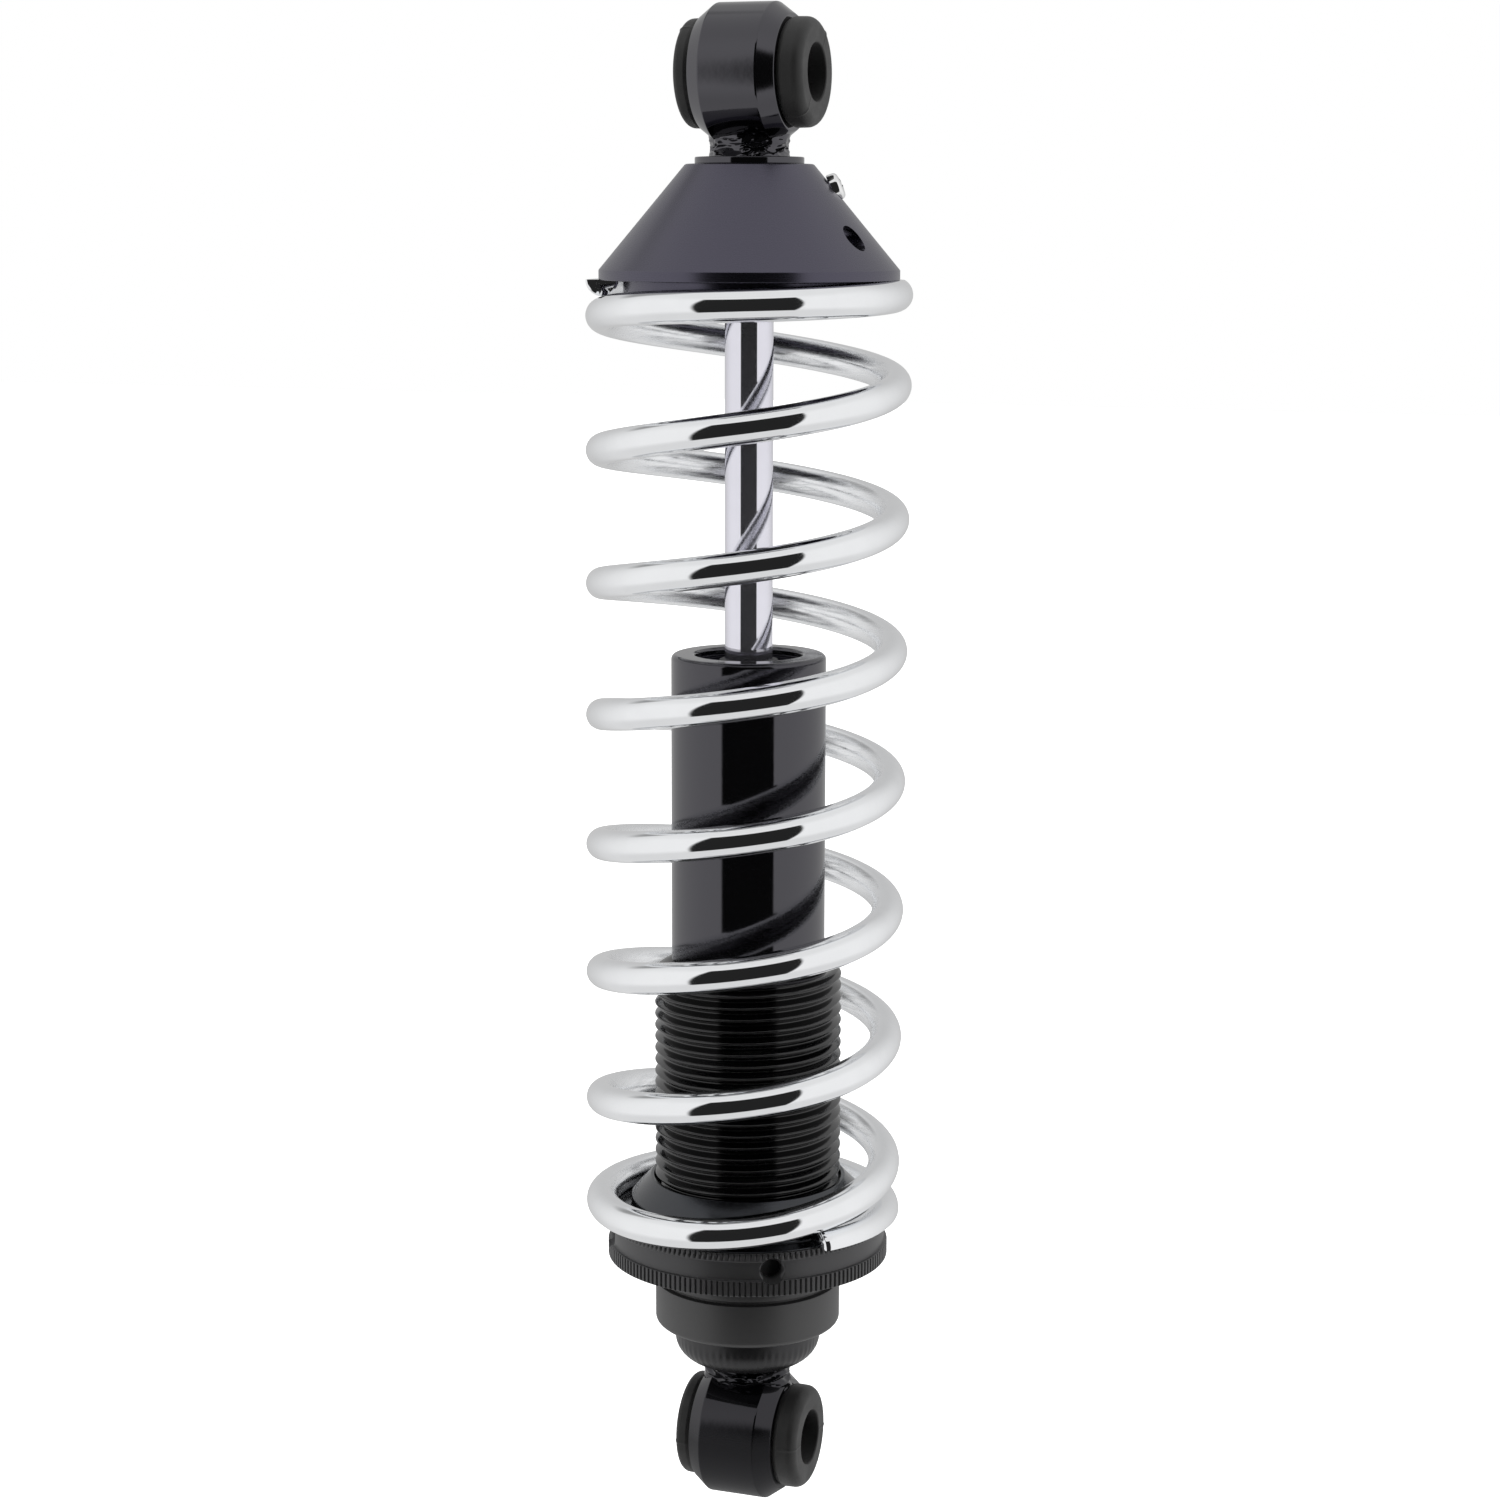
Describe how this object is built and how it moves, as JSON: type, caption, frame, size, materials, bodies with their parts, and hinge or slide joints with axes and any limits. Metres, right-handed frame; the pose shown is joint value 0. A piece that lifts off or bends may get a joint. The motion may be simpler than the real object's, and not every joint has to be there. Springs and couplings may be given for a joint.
{
  "type": "motorcycle rear shock absorber",
  "caption": "Rear shock absorber with rubber-bushed eyes, chrome coil spring, conical cap, sealed gas damper and a threaded preload collar.",
  "frame": {"origin": "centre of the lower eye's bush bore", "axes": "+Z along the damper to the upper eye, +X along the bores of both eyes"},
  "size_m": [0.0817, 0.0809, 0.3808],
  "materials": {
    "gloss_black_paint": "gloss",
    "satin_black_anodised": "satin",
    "bush_rubber": "matte",
    "spring_chrome": "polished",
    "rod_chrome": "polished",
    "bright_fastener": "polished",
    "plain_steel": "satin",
    "plain_aluminium": "satin",
    "bearing_bronze": "satin",
    "bearing_plastic": "matte"
  },
  "bodies": {
    "damper_body": {"damper_tube": "gloss_black_paint", "seal_head": "plain_aluminium", "seal_head_oring": "bush_rubber", "wiper_seal": "bush_rubber", "guide_bush": "bearing_bronze", "rod_seal": "bush_rubber", "base_cap": "gloss_black_paint", "base_cap_oring": "bush_rubber", "lower_eye": "gloss_black_paint", "lower_bush_left": "bush_rubber", "lower_bush_right": "bush_rubber", "threaded_sleeve": "gloss_black_paint", "sleeve_stop_ring": "plain_steel"},
    "rod_assembly": {"upper_eye": "gloss_black_paint", "upper_bush_left": "bush_rubber", "upper_bush_right": "bush_rubber", "upper_spring_cap": "satin_black_anodised", "cap_lock_screw": "bright_fastener", "rod_lock_nut": "plain_steel", "bump_washer": "plain_steel", "bump_stop": "bush_rubber", "piston_rod": "rod_chrome", "top_out_bumper": "bush_rubber", "piston": "plain_aluminium", "piston_band": "bearing_plastic", "compression_shims": "plain_steel", "rebound_shims": "plain_steel", "piston_nut": "plain_steel"},
    "seat_assembly": {"lower_spring_seat": "satin_black_anodised", "spring": "spring_chrome"},
    "collar": {"preload_collar": "satin_black_anodised"},
    "gas_piston": {"floating_piston": "plain_aluminium", "floating_piston_oring": "bush_rubber"}
  },
  "joints": [
    {"name": "rod_stroke", "type": "slide", "parent": "damper_body", "child": "rod_assembly", "axis": [0, 0, -1], "range_m": [0, 0.083], "stiffness_N_per_m": 15500, "springref_m": -0.005, "deforming": ["spring"]},
    {"name": "preload_lift", "type": "slide", "parent": "damper_body", "child": "seat_assembly", "axis": [0, 0, 1], "range_m": [0, 0.012]},
    {"name": "preload_turn", "type": "hinge", "parent": "seat_assembly", "child": "collar", "pos_m": [0, 0, 0.0543], "axis": [0, 0, 1], "range_deg": [0, 1440]},
    {"name": "gas_piston_slide", "type": "slide", "parent": "damper_body", "child": "gas_piston", "axis": [0, 0, -1], "range_m": [0, 0.0105]}
  ],
  "couplings": [
    {"joint": "preload_turn", "follows": "preload_lift", "rad_per_m": 2094.4},
    {"joint": "gas_piston_slide", "follows": "rod_stroke", "ratio": 0.12457}
  ]
}
